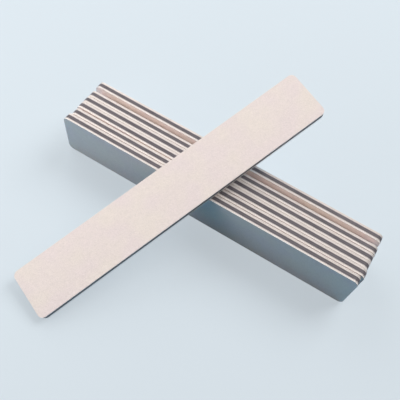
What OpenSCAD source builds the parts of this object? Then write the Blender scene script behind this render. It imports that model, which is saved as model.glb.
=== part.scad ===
// A set of straight emery boards: six stand side by side on their long edges and one leans across them.
// Every board is a sandwich of five layers cut to one outline: abrasive paper, foam, core, foam, paper.
// Millimetres, +Z up. The origin is the middle of the front board's lower long edge, +X runs along
// the standing boards and +Y towards the rear one.

/* [Board] */
// Length of every board
board_length = 178; // [100:1:240]
// Width of every board, which is its height where it stands on its long edge
board_width = 28; // [18:0.5:40]
// Radius of the four corners of the outline
corner_radius = 3; // [0.5:0.1:8]

/* [Layers] */
// Thickness of the stiff dark core
core_thickness = 2.1; // [0.8:0.1:4]
// Thickness of each white foam layer
foam_thickness = 0.85; // [0.4:0.05:2]
// Thickness of each sheet of abrasive paper
sheet_thickness = 0.35; // [0.2:0.05:0.8]

/* [Second board] */
// Least gap to the front board
second_gap = 0.5; // [0.1:0.05:5]
// How far it stands along past the front board
second_shift = 1.3; // [-5:0.1:5]
// Turn seen from above, in degrees
second_turn = 0; // [-1:0.05:1]

/* [Third board] */
// Least gap to the second board
third_gap = 0.2; // [0.1:0.05:5]
// How far it stands along past the front board
third_shift = 0.9; // [-5:0.1:5]
// Turn seen from above, in degrees
third_turn = -0.3; // [-1:0.05:1]

/* [Fourth board] */
// Least gap to the third board
fourth_gap = 0.3; // [0.1:0.05:5]
// How far it stands along past the front board
fourth_shift = 1; // [-5:0.1:5]
// Turn seen from above, in degrees
fourth_turn = -0.3; // [-1:0.05:1]

/* [Fifth board] */
// Least gap to the fourth board
fifth_gap = 0.35; // [0.1:0.05:5]
// How far it stands along past the front board
fifth_shift = 1.2; // [-5:0.1:5]
// Turn seen from above, in degrees
fifth_turn = -0.25; // [-1:0.05:1]

/* [Rear board] */
// Least gap to the fifth board, from which it stands apart
rear_gap = 3.2; // [0.1:0.05:10]
// How far it stands along past the front board
rear_shift = 1; // [-5:0.1:5]
// Turn seen from above, in degrees
rear_turn = -0.3; // [-1:0.05:1]

/* [Leaning board] */
// Place of its middle along the front board, from that board's middle
lean_along = -13.5; // [-40:0.5:40]
// How far its middle lies down the slope from the edge that it rests on
lean_below = 6.7; // [-10:0.1:20]
// Angle between its long side and the edge that it rests on, in degrees
lean_angle = 67.35; // [45:0.05:90]
// Clearance over the edge that it rests on
lean_clearance = 0.05; // [0.02:0.01:0.5]

/* [Hidden] */
$fn = 64;
board_thickness = core_thickness + 2 * foam_thickness + 2 * sheet_thickness;

// Heights at which a board's five layers start, from its lower face up
level = [
    0,
    sheet_thickness,
    sheet_thickness + foam_thickness,
    sheet_thickness + foam_thickness + core_thickness,
    sheet_thickness + 2 * foam_thickness + core_thickness,
];

// The boards and their layers in that order. A standing board has its upper face at the front.
STANDING = ["front", "second", "third", "fourth", "fifth", "rear"];
STANDING_LAYERS = ["rear_sheet", "rear_foam", "core", "front_foam", "front_sheet"];
LEANING_LAYERS = ["lower_sheet", "lower_foam", "core", "upper_foam", "upper_sheet"];
function standing_name(i, k) = str(STANDING[i], "_board_", STANDING_LAYERS[k]);
function leaning_name(k) = str("leaning_board_", LEANING_LAYERS[k]);

// How each standing board is set against the one in front of it
gap = [0, second_gap, third_gap, fourth_gap, fifth_gap, rear_gap];
shift = [0, second_shift, third_shift, fourth_shift, fifth_shift, rear_shift];
turn = [0, second_turn, third_turn, fourth_turn, fifth_turn, rear_turn];

// Distance from the middle of one board to the next. The gap is least at one end, and a difference
// in turn opens it towards the other, so half of that opening is added at the middle.
function pitch(i) =
    board_thickness + gap[i] + board_length / 2 * abs(tan(turn[i]) - tan(turn[i - 1]));
function row_y(i) = i == 0 ? 0 : row_y(i - 1) + pitch(i);

// The leaning board lies on the front board's top front edge, with its lowest corner on the floor
lean_height = board_width + lean_clearance;
lean_reach = (board_length / 2 - corner_radius) * sin(lean_angle)
    + (board_width / 2 - corner_radius) * cos(lean_angle) + corner_radius + lean_below;
lean_tilt = asin(lean_height / lean_reach);

// Outline that all five layers are cut to: a rectangle with true arcs at its corners
module outline() {
    straight_length = board_length - 2 * corner_radius;
    straight_width = board_width - 2 * corner_radius;
    square([board_length, straight_width], center = true);
    square([straight_length, board_width], center = true);
    for (x = [-1, 1], y = [-1, 1])
        translate([x * straight_length / 2, y * straight_width / 2])
            circle(corner_radius);
}

// Sheet of backing paper with the grit on its outer face
module abrasive_sheet() {
    color([0.91, 0.87, 0.85])
        linear_extrude(sheet_thickness) outline();
}

// Closed-cell foam that lets the paper give under the nail
module foam_layer() {
    color([0.96, 0.95, 0.92])
        linear_extrude(foam_thickness) outline();
}

// Stiff plastic strip that keeps the board straight
module core() {
    color([0.27, 0.27, 0.29])
        linear_extrude(core_thickness) outline();
}

// One layer of a board that lies flat, centred over the origin with its lower face at zero
module layer(k) {
    translate([0, 0, level[k]]) {
        if (k == 0 || k == 4) abrasive_sheet();
        if (k == 1 || k == 3) foam_layer();
        if (k == 2) core();
    }
}

// Sets a flat board on its long edge at its place in the row
module stand(i) {
    translate([shift[i], row_y(i), board_width / 2])
        rotate([0, 0, turn[i]])
            translate([0, board_thickness / 2, 0])
                rotate([90, 0, 0]) children();
}

// Lays a flat board across the front board's top front edge
module lean() {
    translate([lean_along, -board_thickness / 2, lean_height])
        rotate([lean_tilt, 0, 0])
            translate([0, -lean_below, 0])
                rotate([0, 0, lean_angle]) children();
}

for (i = [0 : 5], k = [0 : 4])
    stand(i) layer(k);
for (k = [0 : 4])
    lean() layer(k);
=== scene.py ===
import random
from math import cos, pi, radians, sin

import bmesh
import bpy
from mathutils import Matrix, Vector


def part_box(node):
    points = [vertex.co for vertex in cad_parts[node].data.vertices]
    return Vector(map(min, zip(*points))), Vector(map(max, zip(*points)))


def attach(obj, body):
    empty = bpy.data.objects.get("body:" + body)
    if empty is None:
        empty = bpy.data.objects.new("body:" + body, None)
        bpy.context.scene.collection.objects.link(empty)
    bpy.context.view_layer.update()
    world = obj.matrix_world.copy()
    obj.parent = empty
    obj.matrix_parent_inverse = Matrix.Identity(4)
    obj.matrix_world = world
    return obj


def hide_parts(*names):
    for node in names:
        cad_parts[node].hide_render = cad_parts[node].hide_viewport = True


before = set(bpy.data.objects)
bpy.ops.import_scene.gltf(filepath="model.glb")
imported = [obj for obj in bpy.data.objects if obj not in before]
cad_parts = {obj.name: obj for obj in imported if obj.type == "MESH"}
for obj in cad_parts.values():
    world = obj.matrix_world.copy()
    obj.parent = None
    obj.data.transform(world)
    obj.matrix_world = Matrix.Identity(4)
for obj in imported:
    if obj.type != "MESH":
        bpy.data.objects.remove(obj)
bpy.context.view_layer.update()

# --------------------------------------------------------------------------------------------------
# The view: a camera above the front of the row, which looks down at the crossing by 60 degrees. Its
# place, direction and lens come from a perspective fit to the outlines of the seven boards.
# --------------------------------------------------------------------------------------------------
camera = bpy.data.objects.new("photo_camera", bpy.data.cameras.new("photo_camera"))
camera.data.sensor_width = 36
camera.data.lens = 47.32
camera.data.clip_start = 0.01
camera.matrix_world = Matrix((
    (0.85336824, -0.48518161, 0.19068677, 0.05188),
    (0.51463546, 0.72572302, -0.45659219, -0.12806),
    (0.08314435, 0.48777545, 0.86900065, 0.26211),
    (0, 0, 0, 1)))
bpy.context.scene.collection.objects.link(camera)
bpy.context.scene.camera = camera

# --------------------------------------------------------------------------------------------------
# Cores: one stiff polystyrene strip in each of the seven boards, punched out of a calendered sheet
# together with the layers that are glued to it. Only the sheared edge shows, dark grey and faintly
# streaked across by the punch.
# --------------------------------------------------------------------------------------------------
BOARD_LENGTH = 0.178
BOARD_WIDTH = 0.028
CORNER_RADIUS = 0.003
CORE_THICKNESS = 0.0021
CORE_RIM = 0.00005

# How each board lies: the standing ones on a long edge and a fraction of a degree askew, and the last
# one across them. All angles are in degrees.
ROW = {"front": 0, "second": 0, "third": -0.3, "fourth": -0.3, "fifth": -0.25, "rear": -0.3}
LEAN_ANGLE, LEAN_TILT = 67.35, 17.4956
TURNS = {f"{board}_board": Matrix.Rotation(radians(turn), 4, "Z") @ Matrix.Rotation(radians(90), 4, "X")
         for board, turn in ROW.items()}
TURNS["leaning_board"] = (Matrix.Rotation(radians(LEAN_TILT), 4, "X")
                          @ Matrix.Rotation(radians(LEAN_ANGLE), 4, "Z"))


def linear(hex_colour):
    """The linear colour that an sRGB hex value stands for."""
    parts = [int(hex_colour[k:k + 2], 16) / 255 for k in (1, 3, 5)]
    return [c / 12.92 if c <= 0.04045 else ((c + 0.055) / 1.055) ** 2.4 for c in parts] + [1]


def add(tree, kind, sockets=(), **settings):
    """Adds a node. sockets maps its inputs to values, or to the outputs that they are linked from."""
    made = tree.nodes.new(kind)
    for name, value in settings.items():
        setattr(made, name, value)
    for name, value in dict(sockets).items():
        if isinstance(value, bpy.types.NodeSocket):
            tree.links.new(value, made.inputs[name])
        else:
            made.inputs[name].default_value = value
    return made


def finish_named(name, roughness, specular):
    """A material of that name, its tree, its shader and the board's own coordinates."""
    made = bpy.data.materials.new(name)
    made.use_nodes = True
    tree = made.node_tree
    shader = tree.nodes["Principled BSDF"]
    shader.inputs["Roughness"].default_value = roughness
    shader.inputs["Specular IOR Level"].default_value = specular
    own = add(tree, "ShaderNodeAttribute", attribute_name="on_the_board")
    return made, tree, shader, own.outputs["Vector"]


def blank(thickness, rim, drawn_in=0.0):
    """A board's outline punched out of sheet stock, with its rims eased and its cut edge drawn in."""
    bm = bmesh.new()
    bmesh.ops.create_cube(bm, size=1)
    bmesh.ops.scale(bm, vec=(BOARD_LENGTH, BOARD_WIDTH, thickness), verts=bm.verts)
    upright = [e for e in bm.edges if abs(e.verts[0].co.z - e.verts[1].co.z) > thickness / 2]
    bmesh.ops.bevel(bm, geom=upright, offset=CORNER_RADIUS, segments=14, affect="EDGES", profile=0.5,
                    material=-1)
    rims = [e for e in bm.edges if e.is_manifold and abs(e.verts[0].co.z - e.verts[1].co.z) < 1e-7]
    bmesh.ops.bevel(bm, geom=rims, offset=rim, segments=2, affect="EDGES", profile=0.5, material=-1)
    if drawn_in:
        for level in (-0.25, 0, 0.25):
            cut = bmesh.ops.bisect_plane(bm, geom=bm.verts[:] + bm.edges[:] + bm.faces[:],
                                         plane_co=(0, 0, level * thickness), plane_no=(0, 0, 1))
            ring = [v for v in cut["geom_cut"] if isinstance(v, bmesh.types.BMVert)]
            depth = drawn_in * (1 - 4 * level * level)
            bmesh.ops.scale(bm, verts=ring,
                            vec=(1 - 2 * depth / BOARD_LENGTH, 1 - 2 * depth / BOARD_WIDTH, 1))
    return bm


def lay(bm, node, board, material):
    """Puts a blank where its layer lies in that board, as a piece that replaces the layer's plain solid.

    Patterns follow on_the_board, the place on the flat board, which is shifted along it for each piece.
    """
    mesh = bpy.data.meshes.new(f"{node}_piece")
    piece = bpy.data.objects.new(f"{node}_piece", mesh)
    low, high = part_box(node)
    bmesh.ops.recalc_face_normals(bm, faces=bm.faces)
    for face in bm.faces:
        face.smooth = True
    bm.to_mesh(mesh)
    bm.free()
    own = mesh.attributes.new("on_the_board", "FLOAT_VECTOR", "POINT")
    shift = Vector((random.random(), random.random(), 0))
    own.data.foreach_set("vector", [x for v in mesh.vertices for x in v.co + shift])
    mesh.transform(Matrix.Translation((low + high) / 2) @ TURNS[board])
    mesh.set_sharp_from_angle(angle=radians(20))
    mesh.materials.append(material)
    bpy.context.scene.collection.objects.link(piece)
    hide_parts(node)
    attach(piece, board)
    return piece


random.seed(7)
# Polystyrene, calendered and punched: dark warm grey with a low satin gloss, and 0.3 mm streaks across
# the cut.
core_stock, tree, shader, place = finish_named("calendered_polystyrene", 0.6, 0.3)
across = add(tree, "ShaderNodeMapping", {"Vector": place, "Scale": (3300, 3300, 180)})
streaks = add(tree, "ShaderNodeTexNoise", {"Vector": across.outputs["Vector"], "Scale": 1.0,
                                           "Detail": 3.0})
cloud = add(tree, "ShaderNodeTexNoise", {"Vector": place, "Scale": 160.0, "Detail": 2.0})
both = add(tree, "ShaderNodeMix", {0: 0.4, 2: streaks.outputs["Fac"], 3: cloud.outputs["Fac"]})
tone = add(tree, "ShaderNodeValToRGB", {"Fac": both.outputs[0]})
tone.color_ramp.elements[0].position, tone.color_ramp.elements[0].color = 0.3, linear("#504a4e")
tone.color_ramp.elements[1].position, tone.color_ramp.elements[1].color = 0.7, linear("#6a6367")
relief = add(tree, "ShaderNodeBump", {"Height": streaks.outputs["Fac"], "Strength": 0.35,
                                      "Distance": 0.00006})
tree.links.new(tone.outputs["Color"], shader.inputs["Base Color"])
tree.links.new(relief.outputs["Normal"], shader.inputs["Normal"])

for board in TURNS:
    lay(blank(CORE_THICKNESS, CORE_RIM), f"{board}_core", board, core_stock)

# --------------------------------------------------------------------------------------------------
# Foam layers: two thin sheets of closed-cell EVA foam in each board, glued to the core. They let the
# paper give under the hand. The punch squeezes them, so that the cut edge stands a little back from the
# paper and the core.
# --------------------------------------------------------------------------------------------------
FOAM_THICKNESS = 0.00085
FOAM_SETBACK = 0.00009
FOAM_RIM = 0.00006

# EVA foam, skived and punched: matt warm white. Its cells are 0.15 mm across, drawn at 0.4 mm so that
# they show.
foam_stock, tree, shader, place = finish_named("closed_cell_eva_foam", 0.85, 0.25)
cells = add(tree, "ShaderNodeTexVoronoi", {"Vector": place, "Scale": 2500.0})
drift = add(tree, "ShaderNodeTexNoise", {"Vector": place, "Scale": 70.0, "Detail": 2.0})
tone = add(tree, "ShaderNodeValToRGB", {"Fac": drift.outputs["Fac"]})
tone.color_ramp.elements[0].position, tone.color_ramp.elements[0].color = 0.3, linear("#dad0c9")
tone.color_ramp.elements[1].position, tone.color_ramp.elements[1].color = 0.7, linear("#e0d7d3")
relief = add(tree, "ShaderNodeBump", {"Height": cells.outputs["Distance"], "Strength": 0.4,
                                      "Distance": 0.00008})
tree.links.new(tone.outputs["Color"], shader.inputs["Base Color"])
tree.links.new(relief.outputs["Normal"], shader.inputs["Normal"])

for board in TURNS:
    for side in ("lower", "upper") if board == "leaning_board" else ("front", "rear"):
        foam = lay(blank(FOAM_THICKNESS, FOAM_RIM, FOAM_SETBACK), f"{board}_{side}_foam", board,
                   foam_stock)

# --------------------------------------------------------------------------------------------------
# Abrasive sheets: two on each board, one on either face. Strong paper carries light aluminium oxide
# grit under a white stearate coat, which keeps filings from clogging it. It is glued over the foam and
# punched with it.
# --------------------------------------------------------------------------------------------------
SHEET_THICKNESS = 0.00035
SHEET_RIM = 0.00004

# Coated abrasive paper: matt cream that drifts to pink over 15 mm, with clouds 2 mm wide where the grit
# lies thicker. The grit is about 0.15 mm, drawn at 0.35 mm so that it shows, as pale and shaded grains
# that stand up from the coat.
paper_stock, tree, shader, place = finish_named("stearate_coated_abrasive_paper", 0.9, 0.2)
drift = add(tree, "ShaderNodeTexNoise", {"Vector": place, "Scale": 65.0, "Detail": 1.0})
tone = add(tree, "ShaderNodeValToRGB", {"Fac": drift.outputs["Fac"]})
tone.color_ramp.elements[0].position, tone.color_ramp.elements[0].color = 0.35, linear("#f9ece3")
tone.color_ramp.elements[1].position, tone.color_ramp.elements[1].color = 0.65, linear("#f8e9e5")
cloud = add(tree, "ShaderNodeTexNoise", {"Vector": place, "Scale": 480.0, "Detail": 4.0, "Roughness": 0.6})
grit = add(tree, "ShaderNodeTexVoronoi", {"Vector": place, "Scale": 2900.0})
grain = add(tree, "ShaderNodeSeparateColor", {"Color": grit.outputs["Color"]})
cover = add(tree, "ShaderNodeMix", {0: 0.5, 2: cloud.outputs["Fac"], 3: grain.outputs["Red"]})
shade = add(tree, "ShaderNodeMapRange", {"Value": cover.outputs[0], "From Min": 0.2, "From Max": 0.8,
                                         "To Min": 0.9, "To Max": 1.0})
mottled = add(tree, "ShaderNodeVectorMath", {0: tone.outputs["Color"], "Scale": shade.outputs["Result"]},
              operation="SCALE")
height = add(tree, "ShaderNodeMath", {0: grit.outputs["Distance"], 1: grain.outputs["Green"]},
             operation="MULTIPLY")
bite = add(tree, "ShaderNodeMix", {0: 0.45, 2: cloud.outputs["Fac"], 3: height.outputs[0]})
relief = add(tree, "ShaderNodeBump", {"Height": bite.outputs[0], "Strength": 0.6, "Distance": 0.00018},
             invert=True)
# The coat ends at the rim: the cut edge shows the plain backing paper, greyer than the coat.
level = add(tree, "ShaderNodeSeparateXYZ", {"Vector": place})
level = add(tree, "ShaderNodeMath", {0: level.outputs["Z"]}, operation="ABSOLUTE")
coat = add(tree, "ShaderNodeMapRange", {"Value": level.outputs[0],
                                        "From Min": SHEET_THICKNESS / 2 - SHEET_RIM,
                                        "From Max": SHEET_THICKNESS / 2 - SHEET_RIM / 4})
covered = add(tree, "ShaderNodeMix", {0: coat.outputs["Result"], 6: linear("#e3dcd6"),
                                      7: mottled.outputs["Vector"]}, data_type="RGBA")
tree.links.new(covered.outputs[2], shader.inputs["Base Color"])
tree.links.new(relief.outputs["Normal"], shader.inputs["Normal"])

for board in TURNS:
    for side in ("lower", "upper") if board == "leaning_board" else ("front", "rear"):
        lay(blank(SHEET_THICKNESS, SHEET_RIM), f"{board}_{side}_sheet", board, paper_stock)

# --------------------------------------------------------------------------------------------------
# The studio: a plain pale floor and world, soft square lamps at the rear left, the rear right and the
# front left, and a weak one at the front right, which fills the shadow under the leaning board. The floor
# shows pale to the camera, and throws back the blue of the photographed surface, which tints the shaded
# faces. Part of what the camera sees of it is its own even glow.
# --------------------------------------------------------------------------------------------------
FLOOR_HALF = 4
FLOOR_GLOW = 0.66

bm = bmesh.new()
bmesh.ops.create_grid(bm, x_segments=1, y_segments=1, size=FLOOR_HALF)
mesh = bpy.data.meshes.new("floor")
bm.to_mesh(mesh)
bm.free()
floor = bpy.data.objects.new("floor", mesh)
bpy.context.scene.collection.objects.link(floor)

table_top = bpy.data.materials.new("painted_table_top")
table_top.use_nodes = True
tree = table_top.node_tree
shader = tree.nodes["Principled BSDF"]
shader.inputs["Roughness"].default_value = 1.0
shader.inputs["Specular IOR Level"].default_value = 0.0
rays = add(tree, "ShaderNodeLightPath")
seen = add(tree, "ShaderNodeMath", {0: rays.outputs["Is Camera Ray"], 1: rays.outputs["Is Glossy Ray"]},
           operation="MAXIMUM")
seen = add(tree, "ShaderNodeMath", {0: seen.outputs[0], 1: rays.outputs["Is Transmission Ray"]},
           operation="MAXIMUM")
shown = add(tree, "ShaderNodeMix", {0: seen.outputs[0], 6: linear("#5c9fc2"), 7: linear("#7d8488")},
            data_type="RGBA")
glow = add(tree, "ShaderNodeMath", {0: seen.outputs[0], 1: FLOOR_GLOW}, operation="MULTIPLY")
tree.links.new(shown.outputs[2], shader.inputs["Base Color"])
tree.links.new(glow.outputs[0], shader.inputs["Emission Strength"])
shader.inputs["Emission Color"].default_value = linear("#d9e2e9")
floor.data.materials.append(table_top)

# Each lamp's turn from the front and height in degrees, its distance and size in metres, and the light
# that it gives a white card held square to it, where 1 shows white.
for name, turn, height, distance, size, strength in (
        ("rear_left_softbox", 236, 32, 0.75, 0.6, 0.67),
        ("rear_right_softbox", 155, 45, 1.5, 0.9, 1.06),
        ("front_left_softbox", 300, 30, 0.34, 0.27, 0.33),
        ("front_right_softbox", 45, 35, 1.2, 0.9, 0.055)):
    across, up = radians(turn), radians(height)
    towards = Vector((sin(across) * cos(up), -cos(across) * cos(up), sin(up)))
    lamp = bpy.data.objects.new(name, bpy.data.lights.new(name, "AREA"))
    lamp.data.size = size
    lamp.data.energy = strength * pi ** 2 * distance ** 2
    lamp.location = towards * distance
    lamp.rotation_euler = (-towards).to_track_quat("-Z", "Y").to_euler()
    lamp.visible_camera = False
    bpy.context.scene.collection.objects.link(lamp)

WALLS_LIGHT = 0.08
WALLS_SEEN = 0.72

world = bpy.data.worlds.new("studio_walls")
world.use_nodes = True
tree = world.node_tree
walls = tree.nodes["Background"]
rays = add(tree, "ShaderNodeLightPath")
strength = add(tree, "ShaderNodeMix", {0: rays.outputs["Is Camera Ray"], 2: WALLS_LIGHT, 3: WALLS_SEEN})
tree.links.new(strength.outputs[0], walls.inputs["Strength"])
walls.inputs["Color"].default_value = linear("#e9eff4")
bpy.context.scene.world = world
bpy.context.scene.view_settings.view_transform = "Standard"
